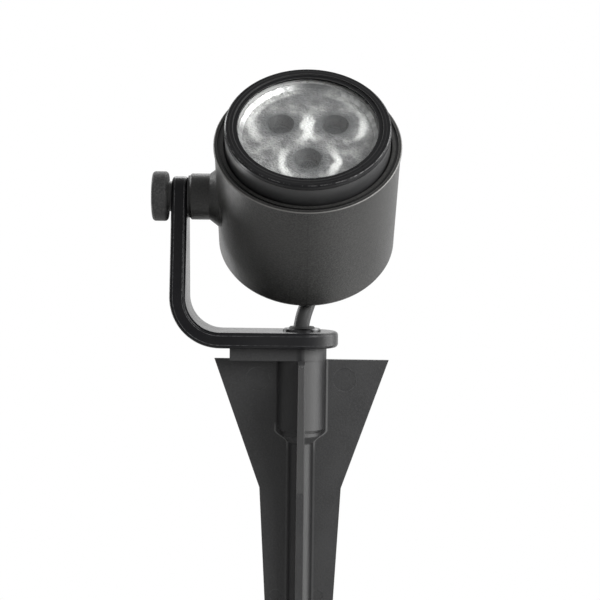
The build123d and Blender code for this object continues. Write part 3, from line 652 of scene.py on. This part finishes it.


# an edge, a broken line of wear and painted glint, is a radius, a level along the beam, a width and a cover; a band,
# painted shade or a painted highlight line, is two radii, two levels and a tone;
# a highlight slope, a painted lighter ramp, is two places along X, a share and a tone; a ring is a place along X, a
# level and a radius
finishes = {
    "housingCoat": {
        "color": (0.015, 0.0150, 0.0146), "light": (0.034, 0.0335, 0.032), "wornAndGlint": (0.125, 0.122, 0.118),
        "grainShow": 0.6, "grainTone": (0.036, 0.0355, 0.034), "specular": 0.25, "roughness": 0.44,
        "grain": 1500.0, "patch": 45.0, "vary": 0.35, "specksAndGlints": 0.55, "depth": 0.00010, "bump": 0.8,
        "seam": 0.0015, "seamWidth": 0.0003, "seamTone": (0.009, 0.009, 0.009), "seamShow": 0.6,
        # the edges are broken lines of wear and painted glint on the rim; the bands are painted shade in the gap
        # between sleeve and rim
        "edges": ((0.0317, 0.0269, 0.00040, 0.98), (0.0306, 0.0270, 0.00022, 0.85)),
        "bands": (
            (0.0279, 0.0286, 0.0200, 0.0270, (0.002, 0.002, 0.0022)),
            (0.0297, 0.03055, 0.0200, 0.0267, (0.004, 0.004, 0.0042)),
        ),
    },
    "collarCoat": {
        "color": (0.023, 0.023, 0.0235), "light": (0.038, 0.038, 0.038), "specular": 0.25, "roughness": 0.38,
        "grain": 3200.0, "patch": 60.0, "vary": 0.3, "specksAndGlints": 0.2, "depth": 0.00002, "bump": 0.35,
        # painted shade: darker bands on the collar's side up to the rim and in a thin groove near its top
        "bands": (
            (0.0276, 0.0285, 0.0, 0.0262, (0.003, 0.003, 0.0032)),
            (0.0276, 0.0285, 0.0334, 0.0338, (0.004, 0.004, 0.004)),
        ),
    },
    "bezelCoat": {
        "color": (0.004, 0.004, 0.0045), "light": (0.009, 0.009, 0.010), "wornAndGlint": (0.07, 0.07, 0.07),
        "specular": 0.12, "roughness": 0.26,
        "grain": 3200.0, "patch": 60.0, "vary": 0.3, "specksAndGlints": 0.3, "depth": 0.00002, "bump": 0.3,
        # painted highlights: broken bright lines round the bezel's edges, partly wear, and bright lines on its inner
        # steps
        "edges": ((0.0236, 0.0348, 0.00025, 0.98), (0.0275, 0.0352, 0.00022, 0.60)),
        "bands": (
            (0.02495, 0.02525, 0.0340, 0.0360, (0.045, 0.045, 0.045)),
            (0.0262, 0.0264, 0.0340, 0.0360, (0.020, 0.020, 0.020)),
        ),
    },
    "bracketCoat": {
        "color": (0.0045, 0.0045, 0.0054), "light": (0.014, 0.014, 0.015), "specular": 0.10, "roughness": 0.24,
        "grain": 1800.0, "patch": 60.0, "vary": 0.4, "specksAndGlints": 0.5, "depth": 0.00006, "bump": 0.6,
        # painted highlights: lighter ramps along X over the foot, strongest on its round end, and a highlight line
        # along the bar's rounded edges
        "highlightSlopes": ((-0.034, -0.012, 0.6, (0.015, 0.015, 0.016)), (0.003, 0.009, 0.4, (0.055, 0.055, 0.054))),
        "barHighlight": (0.095, 0.095, 0.098),
    },
    "spikePlastic": {
        "color": (0.024, 0.024, 0.0245), "light": (0.050, 0.050, 0.051),
        "grainShow": 0.5, "grainTone": (0.036, 0.036, 0.0365), "specular": 0.25, "roughness": 0.52,
        "grain": 1500.0, "patch": 70.0, "vary": 0.25, "specksAndGlints": 0.4, "depth": 0.00008, "bump": 0.6,
        # painted sheen and shade on the socket and core, painted highlights on the root line and the slanted fin edges
        "marks": {
            "Sheen": (0.066, 0.066, 0.066), "Dim": (0.010, 0.010, 0.0104),
            "Root": (0.095, 0.095, 0.095), "Edge": (0.045, 0.045, 0.045),
        },
        "rings": (
            (0.0152, -0.007, 0.0041), (-0.0154, -0.007, 0.0041),
            (0.0066, -0.084, 0.00205), (-0.0084, -0.084, 0.00205),
        ),
    },
    "knobPlastic": {
        "color": (0.014, 0.014, 0.0140), "light": (0.050, 0.050, 0.050),
        "grainShow": 0.7, "grainTone": (0.046, 0.046, 0.046), "specular": 0.25, "roughness": 0.6,
        "grain": 1500.0, "patch": 90.0, "vary": 0.4, "specksAndGlints": 0.8, "depth": 0.00018, "bump": 0.9,
    },
    "washerNylon": {
        "color": (0.014, 0.014, 0.014), "light": (0.03, 0.03, 0.03), "specular": 0.25, "roughness": 0.42,
    },
    "cableSheath": {
        "color": (0.023, 0.023, 0.0230), "light": (0.038, 0.038, 0.038), "specular": 0.25, "roughness": 0.5,
        "grain": 1800.0, "patch": 40.0, "vary": 0.5, "specksAndGlints": 0.2, "depth": 0.00003, "bump": 0.3,
    },
    "plugPlastic": {
        "color": (0.018, 0.018, 0.0180), "light": (0.032, 0.032, 0.032), "specular": 0.25, "roughness": 0.45,
        "grain": 2200.0, "patch": 90.0, "vary": 0.3, "specksAndGlints": 0.3, "depth": 0.00003, "bump": 0.4,
    },
    "sealRubber": {
        "color": (0.015, 0.015, 0.015), "light": (0.028, 0.028, 0.028), "specular": 0.25, "roughness": 0.6,
        "depth": 0.00002,
    },
    "gasketClear": {"color": (0.60, 0.60, 0.59), "light": (0.72, 0.72, 0.71), "roughness": 0.4, "depth": 0.00002},
    "holderWhite": {
        "color": (0.50, 0.50, 0.49), "light": (0.60, 0.60, 0.59), "roughness": 0.42, "depth": 0.00002, "bump": 0.3,
    },
    "boardWhite": {
        "color": (0.66, 0.66, 0.64), "light": (0.74, 0.74, 0.72), "roughness": 0.5, "depth": 0.00001, "bump": 0.2,
    },
    "emitterYellow": {
        "color": (0.70, 0.52, 0.10), "light": (0.80, 0.66, 0.22), "roughness": 0.3, "depth": 0.00001, "bump": 0.2,
    },
    "padGrey": {"color": (0.36, 0.38, 0.40), "light": (0.44, 0.46, 0.48), "roughness": 0.7},
    "bareAluminium": {
        "color": (0.62, 0.62, 0.63), "light": (0.74, 0.74, 0.75), "metallic": 1.0, "roughness": 0.32, "depth": 0.00001,
    },
    "fastenerSteel": {
        "color": (0.40, 0.40, 0.40), "light": (0.55, 0.55, 0.54), "metallic": 1.0, "roughness": 0.3, "depth": 0.00001,
    },
    "blackSteel": {
        # the bright specks paint glints on the dark metal
        "color": (0.026, 0.026, 0.027), "light": (0.34, 0.34, 0.34), "metallic": 1.0, "roughness": 0.22,
        "grain": 700.0, "vary": 0.15, "specksAndGlints": 0.9, "depth": 0.00005, "bump": 0.6,
    },
    "boardGreen": {"color": (0.03, 0.16, 0.08), "light": (0.05, 0.24, 0.12), "roughness": 0.4},
    "componentBlack": {"color": (0.03, 0.03, 0.035), "light": (0.06, 0.06, 0.065), "roughness": 0.45},
    "wireRed": {"color": (0.42, 0.03, 0.03), "light": (0.5, 0.06, 0.05), "roughness": 0.45},
    "coreBlue": {"color": (0.03, 0.09, 0.38), "light": (0.05, 0.14, 0.46), "roughness": 0.45},
    "turnedBrass": {
        "color": (0.66, 0.47, 0.18), "light": (0.80, 0.62, 0.30), "metallic": 1.0, "roughness": 0.28, "depth": 0.00001,
    },
}
material = {name: grainedMaterial(name, f) for name, f in finishes.items()}

glassFinish = {
    "color": (0.97, 0.98, 0.98), "through": (0.9, 0.9, 0.9), "roughness": 0.0, "smear": 0.03, "ior": 1.45,
    "grain": 900.0, "patch": 60.0, "bump": 0.02, "depth": 0.000002,
}
material["coverGlass"] = clearMaterial("coverGlass", glassFinish)

opticFinish = {
    # the shade and well tones are painted shade, the bright tone is painted reflection
    "color": (0.14, 0.14, 0.140), "light": (0.42, 0.42, 0.412), "shade": (0.075, 0.08, 0.082),
    "well": (0.010, 0.012, 0.013), "bright": (0.92, 0.92, 0.90), "roughness": 0.3, "specular": 0.4, "mirror": 0.8,
    "grain": 1800.0, "patch": 240.0, "shadeShow": 0.75, "pebbleBand": (0.15, 0.6), "pebbleShow": 0.35,
    "depth": 0.00012, "bump": 0.6, "grainRelief": 0.5,
}
material["opticSilver"] = lensMaterial("opticSilver", opticFinish)

finishNodes = {
    "housingCoat": ("lamp_housing",),
    "collarCoat": ("lens_collar",),
    "bezelCoat": ("retaining_bezel",),
    "bracketCoat": ("bracket",),
    "spikePlastic": ("spike",),
    "knobPlastic": ("clamp_knob",),
    "washerNylon": ("friction_washer", "collar_washer"),
    "coverGlass": ("cover_glass",),
    "opticSilver": ("triple_lens",),
    "holderWhite": ("optic_holder",),
    "boardWhite": ("led_board",),
    "emitterYellow": ("leds",),
    "padGrey": ("thermal_pad",),
    "bareAluminium": ("heat_spreader",),
    "fastenerSteel": ("spreader_screws", "led_board_screws", "driver_screws", "clamp_stud"),
    "boardGreen": ("driver_board",),
    "componentBlack": ("driver_parts",),
    "wireRed": ("lead_wires",),
    "coreBlue": ("supply_cores",),
    "sealRubber": ("cable_gland", "cable_bush", "collar_seal"),
    "plugPlastic": ("gland_nut", "coil_tie", "plug_relief", "plug_body"),
    "cableSheath": ("cable_in_head", "cable_in_spike"),
    "blackSteel": ("hollow_screw",),
    "turnedBrass": ("thread_insert", "plug_pins"),
    "gasketClear": ("glass_gasket",),
}
for finish, names in finishNodes.items():
    for name in names:
        mesh = nodes[name].data
        mesh.materials.clear()
        mesh.materials.append(material[finish])
print("finishes set,", len(material))


# the optic's pebbled front: low domes strewn over its flat face, none in the wells

pebbles = {
    "inputs": {
        "Face Radius": 0.0217, "Dome Radius": 0.00055, "Dome Height": 0.00010, "Apart": 0.00066,
        "Well Circle": 0.0106, "Well Radius": 0.0052, "Seed": 11,
    },
    "level": 0.0294,  # of the optic's face, along the beam from the pivot
    "wells": (30.0, 150.0, 270.0),
    "faceCorners": 96,
    "density": 4.0e6,  # more points a square metre than the distance between them allows
    "segments": 7,
    "rings": 4,
    "sizes": (0.55, 1.25),
}


def geometryTree(name, inputs):
    tree = bpy.data.node_groups.new(name, "GeometryNodeTree")
    identifiers = {}
    for label, value in inputs.items():
        kind = "NodeSocketInt" if isinstance(value, int) else "NodeSocketFloat"
        socket = tree.interface.new_socket(label, in_out="INPUT", socket_type=kind)
        socket.default_value = value
        identifiers[label] = socket.identifier
    tree.interface.new_socket("Mesh", in_out="OUTPUT", socket_type="NodeSocketGeometry")
    return tree, identifiers, tree.nodes.new("NodeGroupInput").outputs, tree.nodes.new("NodeGroupOutput")


def bakeTree(name, tree, identifiers, inputs):
    # runs the tree on an empty mesh and keeps the result as a plain mesh
    carrier = addObject(name + "Carrier", bpy.data.meshes.new(name + "Carrier"))
    modifier = carrier.modifiers.new(name, "NODES")
    modifier.node_group = tree
    for label, value in inputs.items():
        modifier[identifiers[label]] = value
    mesh = bakedMesh(carrier)
    carrier.modifiers.remove(modifier)
    bpy.data.objects.remove(carrier)
    return addObject(name, mesh)


def makePebbles(p):
    tree, identifiers, given, out = geometryTree("opticPebbles", p["inputs"])
    face = addNode(tree, "GeometryNodeMeshCircle", fill_type="NGON")
    feed(tree, face, {"Vertices": p["faceCorners"], "Radius": given["Face Radius"]})
    strewn = addNode(tree, "GeometryNodeDistributePointsOnFaces", distribute_method="POISSON")
    feed(tree, strewn, {
        "Mesh": face.outputs["Mesh"], "Density Max": p["density"],
        "Distance Min": given["Apart"], "Seed": given["Seed"],
    })
    place = tree.nodes.new("GeometryNodeInputPosition").outputs[0]
    points = strewn.outputs["Points"]
    for turn in p["wells"]:
        toward = (math.cos(math.radians(turn)), math.sin(math.radians(turn)), 0)
        centre = vectorNode(tree, "SCALE", toward, scale=given["Well Circle"])
        inside = mathNode(
            tree, "LESS_THAN", vectorNode(tree, "DISTANCE", place, centre, output="Value"), given["Well Radius"]
        )
        cut = addNode(tree, "GeometryNodeDeleteGeometry", domain="POINT")
        feed(tree, cut, {"Geometry": points, "Selection": inside})
        points = cut.outputs["Geometry"]
    dome = tree.nodes.new("GeometryNodeMeshUVSphere")
    feed(tree, dome, {"Segments": p["segments"], "Rings": p["rings"], "Radius": 1.0})
    size = tree.nodes.new("ShaderNodeCombineXYZ")
    feed(tree, size, {"X": given["Dome Radius"], "Y": given["Dome Radius"], "Z": given["Dome Height"]})
    unlike = addNode(tree, "FunctionNodeRandomValue", data_type="FLOAT")
    least, most = p["sizes"]
    feed(tree, unlike, {2: least, 3: most, "Seed": given["Seed"]})  # 2 and 3 are the number's limits
    scatter = tree.nodes.new("GeometryNodeInstanceOnPoints")
    feed(tree, scatter, {
        "Points": points, "Instance": dome.outputs["Mesh"],
        "Scale": vectorNode(tree, "SCALE", size.outputs[0], scale=unlike.outputs[1]),
    })
    spot = tree.nodes.new("GeometryNodeTransform")
    feed(tree, spot, {
        "Geometry": scatter.outputs["Instances"], "Translation": head["pivot"] + beamAxis * p["level"],
        "Rotation": headPlace.to_euler(),
    })
    real = tree.nodes.new("GeometryNodeRealizeInstances")
    feed(tree, real, {"Geometry": spot.outputs["Geometry"]})
    painted = tree.nodes.new("GeometryNodeSetMaterial")
    feed(tree, painted, {"Geometry": real.outputs["Geometry"], "Material": material["opticSilver"]})
    feed(tree, out, {"Mesh": painted.outputs["Geometry"]})
    obj = bakeTree("opticPebbles", tree, identifiers, p["inputs"])
    smoothFaces(obj.data)
    print("optic pebbles,", len(obj.data.polygons), "faces")
    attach(obj, "head")


makePebbles(pebbles)


# turned pieces, in millimetres


def turnedMesh(name, outline, sides, axis):
    # turns (radius, level) points round the axis given
    turns = [2 * math.pi * i / sides for i in range(sides)]
    vertices = [
        axis @ Vector((radius * mm * math.cos(turn), radius * mm * math.sin(turn), level * mm))
        for turn in turns for radius, level in outline
    ]
    count = len(outline)
    faces = []
    for i in range(sides):
        here, there = i * count, (i + 1) % sides * count
        for j in range(count):
            k = (j + 1) % count
            faces.append((here + j, there + j, there + k, here + k))
    mesh = bpy.data.meshes.new(name)
    mesh.from_pydata(vertices, [], faces)
    return addObject(name, mesh)


# the silvered cone between the optic's edge and the glass
surround = {"inner": (22.0, 29.45), "outer": (23.3, 30.95), "wall": 0.2, "sides": 120}


def makeSurround(c):
    (r0, z0), (r1, z1) = c["inner"], c["outer"]
    outline = [(r0, z0), (r1, z1), (r1 + c["wall"], z1), (r0 + c["wall"], z0)]
    obj = turnedMesh("lensSurround", outline, c["sides"], headPlace)
    obj.data.materials.append(material["opticSilver"])
    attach(obj, "head")


makeSurround(surround)
print("lens surround made")

# the root of the boss's flare, which meets the round body in a soft corner
root = {"inner": 9.0, "outer": 10.7, "spread": 10.95, "start": -30.5, "end": -29.3, "sides": 96}


def makeFlareRoot(r):
    outline = [(r["inner"], r["start"]), (r["inner"], r["end"]), (r["spread"], r["end"]), (r["outer"], r["start"])]
    sideways = placeOf(head["pivot"], (0, 1, 0), (0, 0, 1), (1, 0, 0))
    obj = turnedMesh("flareRoot", outline, r["sides"], sideways)
    obj.data.materials.append(material["housingCoat"])
    smoothFaces(obj.data)
    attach(obj, "head")


makeFlareRoot(root)
print("flare root made")


# cables

splineShape = {"order": 3, "steps": 8, "bevelSteps": 6}


def splineCurve(name, points, radius, steps=splineShape["steps"]):
    data = bpy.data.curves.new(name, "CURVE")
    data.dimensions = "3D"
    data.resolution_u = steps
    data.bevel_depth = radius
    data.bevel_resolution = splineShape["bevelSteps"]
    data.use_fill_caps = True
    data.materials.append(material["cableSheath"])
    spline = data.splines.new("NURBS")
    spline.points.add(len(points) - 1)
    for knot, (x, y, z) in zip(spline.points, points):
        knot.co = (x * mm, y * mm, z * mm, 1)
    spline.order_u = splineShape["order"]
    spline.use_endpoint_u = True
    return addObject(name, data)


# the free cable: down behind the fins, a coil at the spike's foot and a short tail to the plug
cable = {
    "diameter": 0.0055,
    "length": 1.497,
    "lead": [
        (5.1265, 5.1265, -25.1665), (5.1265, 5.1265, -61.1665), (6.3, 6.2, -98), (7.6, 8.6, -130), (12, 14.5, -156),
        (17.5, 24, -178), (23, 37, -192.5), (27, 54, -196.55),
    ],
    "coilCentre": (-11.024, 75.7087, -196.55),
    "outerRadius": 40.3,
    "innerRadius": 22.0,
    "pitch": 6.1,
    "turns": 3,
    "climbTurns": 0.5,
    "startAngle": -0.117109,
    "perTurn": 16,
    "tail": [(-53.0225, 66.5573, -190.45), (-56.2479, 52.4174, -193.5), (-57.0479, 38.4174, -193.5)],
}


def coilPoints(c):
    # in on the floor, up a layer in the half turn where the spiral reverses, out on top
    points = []
    x, y, z = c["coilCentre"]
    reach = 0.75 + 0.25 * math.cos(2 * math.pi / c["perTurn"])  # a quadratic spline's share of its points' radius
    for i in range(int((2 * c["turns"] + c["climbTurns"]) * c["perTurn"]) + 1):
        turn = i / c["perTurn"]
        past = turn - c["turns"]
        climb = min(max(past / c["climbTurns"], 0), 1)
        if past < 0:
            radius = c["outerRadius"] - c["pitch"] * turn
        elif climb < 1:
            radius = c["innerRadius"] + c["pitch"] * (2 * past * past - past)
        else:
            radius = c["innerRadius"] + c["pitch"] * (past - c["climbTurns"])
        angle = c["startAngle"] + 2 * math.pi * turn
        rise = c["pitch"] * climb * climb * (3 - 2 * climb)
        points.append((x + radius / reach * math.cos(angle), y + radius / reach * math.sin(angle), z + rise))
    return points


def makeFreeCable(c):
    obj = splineCurve("freeCable", c["lead"] + coilPoints(c) + c["tail"], c["diameter"] / 2)
    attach(obj, "stand")
    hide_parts("cable_lead", "cable_coil", "cable_tail")


makeFreeCable(cable)

# the cable between the head's gland and the hollow screw in the bracket's foot
neck = {
    "radius": 0.00275,
    "steps": 12,
    "route": [
        (1.2, 23.7, 43.53), (1.2, 26.0, 41.45), (1.3, 30.0, 36.5), (2.4, 27.0, 27.5), (2.9, 11.0, 21.3),
        (1.9, 1.2, 19.4), (0.2, -0.2, 14.6), (-0.4, 0.0, 10.4),
    ],
}


def makeNeckCable(n):
    # a mesh baked from the curve; the real cable bends with the head
    curve = splineCurve("neckRoute", n["route"], n["radius"], n["steps"])
    mesh = bakedMesh(curve)
    bpy.data.objects.remove(curve)
    smoothFaces(mesh)
    obj = addObject("neckCable", mesh)
    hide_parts("cable_neck")
    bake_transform(obj)


makeNeckCable(neck)

# the cable in the spike's guide, with its double bend
guide = {
    "radius": 0.00275,
    "route": [(0, 0, 10.9), (0, 0, 3), (0, 0, -8.02), (5.1265, 5.1265, -17.64), (5.1265, 5.1265, -25.1665)],
}


def makeGuideCable(g):
    obj = splineCurve("guideCable", g["route"], g["radius"])
    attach(obj, "stand")
    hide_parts("cable_in_spike")


makeGuideCable(guide)
print("cables laid")


# floor

ground = {
    "place": (-0.01, 0.02, -0.2002), "radius": 0.40, "corners": 64, "fade": (0.55, 0.98),
    "finish": {"color": (0.86, 0.86, 0.855), "roughness": 0.8, "specular": 0.2},
}


def makeFloor(g):
    x, y, z = g["place"]
    turns = [2 * math.pi * i / g["corners"] for i in range(g["corners"])]
    corners = [(x + g["radius"] * math.cos(turn), y + g["radius"] * math.sin(turn), z) for turn in turns]
    mesh = bpy.data.meshes.new("floor")
    mesh.from_pydata(corners, [], [list(range(g["corners"]))])
    obj = addObject("floor", mesh)
    finish, tree, shader = startMaterial("paleFloor", {**plainFinish, **g["finish"]})
    local = vectorNode(tree, "SUBTRACT", objectPlace(tree), g["place"])
    distance = vectorNode(tree, "LENGTH", local, output="Value")
    fade = smoothBand(tree, distance, *(g["radius"] * share for share in g["fade"]))
    path = tree.nodes.new("ShaderNodeLightPath").outputs
    seen = largest(tree, path["Is Camera Ray"], path["Is Glossy Ray"])
    glow = tree.nodes.new("ShaderNodeEmission")
    surface = tree.nodes["Material Output"].inputs["Surface"]
    mixShaders(tree, times(tree, fade, seen), shader.outputs[0], glow.outputs[0], surface)
    mesh.materials.append(finish)


makeFloor(ground)

print("scene done")
